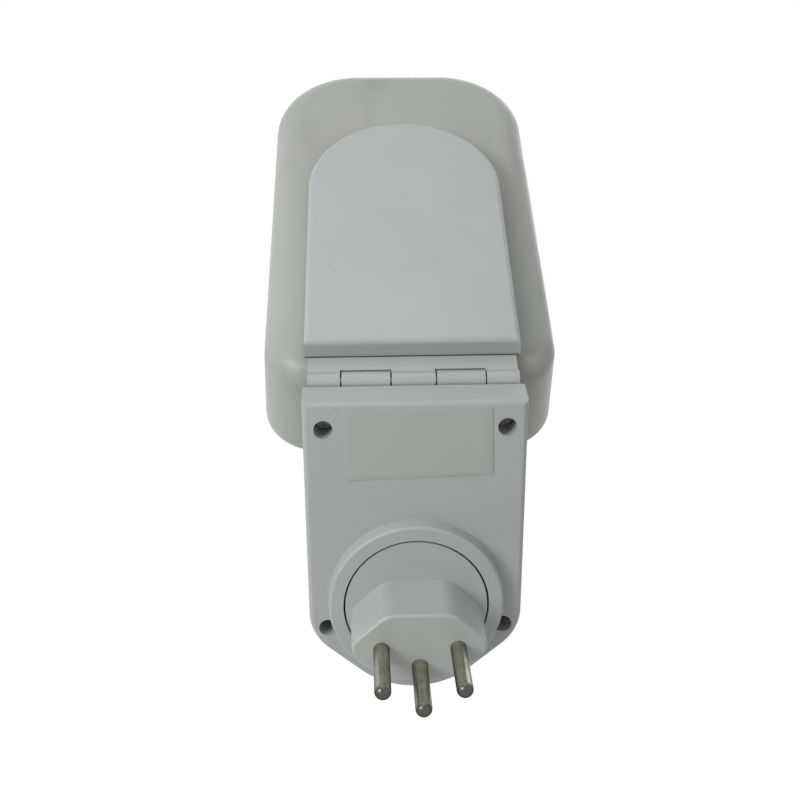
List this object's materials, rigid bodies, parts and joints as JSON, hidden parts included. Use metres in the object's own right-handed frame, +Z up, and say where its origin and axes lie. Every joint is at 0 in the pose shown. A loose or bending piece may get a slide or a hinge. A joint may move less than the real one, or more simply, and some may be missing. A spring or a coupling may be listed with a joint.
{
  "type": "plug-in time switch",
  "caption": "Plug-in time switch with round pins on its back, an outlet on its front and a hinged timer head in a milky hood.",
  "frame": {"origin": "midway between the two line pins on the plug's contact face", "axes": "+X right when the back is seen, +Y from the wall into the room, +Z up"},
  "size_m": [0.083, 0.1829, 0.1566],
  "materials": {
    "white_plastic": "satin moulded plastic",
    "cap_plastic": "fine satin moulded plastic",
    "milky_plastic": "milky translucent plastic",
    "fascia_plastic": "satin moulded plastic",
    "key_plastic": "satin grey keys",
    "window": "clear window",
    "display_glass": "grey-green liquid crystal",
    "nickel": "dull nickel",
    "steel": "zinc plated",
    "brass": "plain brass",
    "circuit_board": "lacquered board",
    "dark_plastic": "black moulded plastic",
    "capacitor_can": "aluminium can"
  },
  "bodies": {
    "socket_unit": {"rear_housing": "white_plastic", "front_housing": "white_plastic", "plug_insert": "white_plastic", "plug_ring": "dark_plastic", "line_pin": "nickel", "neutral_pin": "nickel", "earth_pin": "nickel", "housing_screws": "steel", "outlet_insert": "white_plastic", "line_contact": "brass", "neutral_contact": "brass", "earth_contact": "brass", "power_board": "circuit_board", "relay": "dark_plastic", "capacitor": "capacitor_can", "hinge_pin": "steel"},
    "head": {"hinge_leaf": "white_plastic", "head_cap": "cap_plastic", "hood": "milky_plastic", "fascia": "fascia_plastic", "display_window": "window", "display": "display_glass", "timer_board": "circuit_board", "push_switches": "dark_plastic", "backup_cell": "steel", "head_screws": "steel"},
    "mode_key": {"mode_key": "key_plastic"},
    "hour_key": {"hour_key": "key_plastic"},
    "minute_key": {"minute_key": "key_plastic"},
    "manual_key": {"manual_key": "key_plastic"}
  },
  "joints": [
    {"name": "head_hinge", "type": "hinge", "parent": "socket_unit", "child": "head", "pos_m": [0, 0.0319, 0.0591], "axis": [1, 0, 0], "range_deg": [0, 56]},
    {"name": "mode_key_press", "type": "slide", "parent": "head", "child": "mode_key", "axis": [0, -0.5592, 0.829], "range_m": [0, 0.0006], "stiffness_N_per_m": 400},
    {"name": "hour_key_press", "type": "slide", "parent": "head", "child": "hour_key", "axis": [0, -0.5592, 0.829], "range_m": [0, 0.0006], "stiffness_N_per_m": 400},
    {"name": "minute_key_press", "type": "slide", "parent": "head", "child": "minute_key", "axis": [0, -0.5592, 0.829], "range_m": [0, 0.0006], "stiffness_N_per_m": 400},
    {"name": "manual_key_press", "type": "slide", "parent": "head", "child": "manual_key", "axis": [0, -0.5592, 0.829], "range_m": [0, 0.0006], "stiffness_N_per_m": 400}
  ]
}
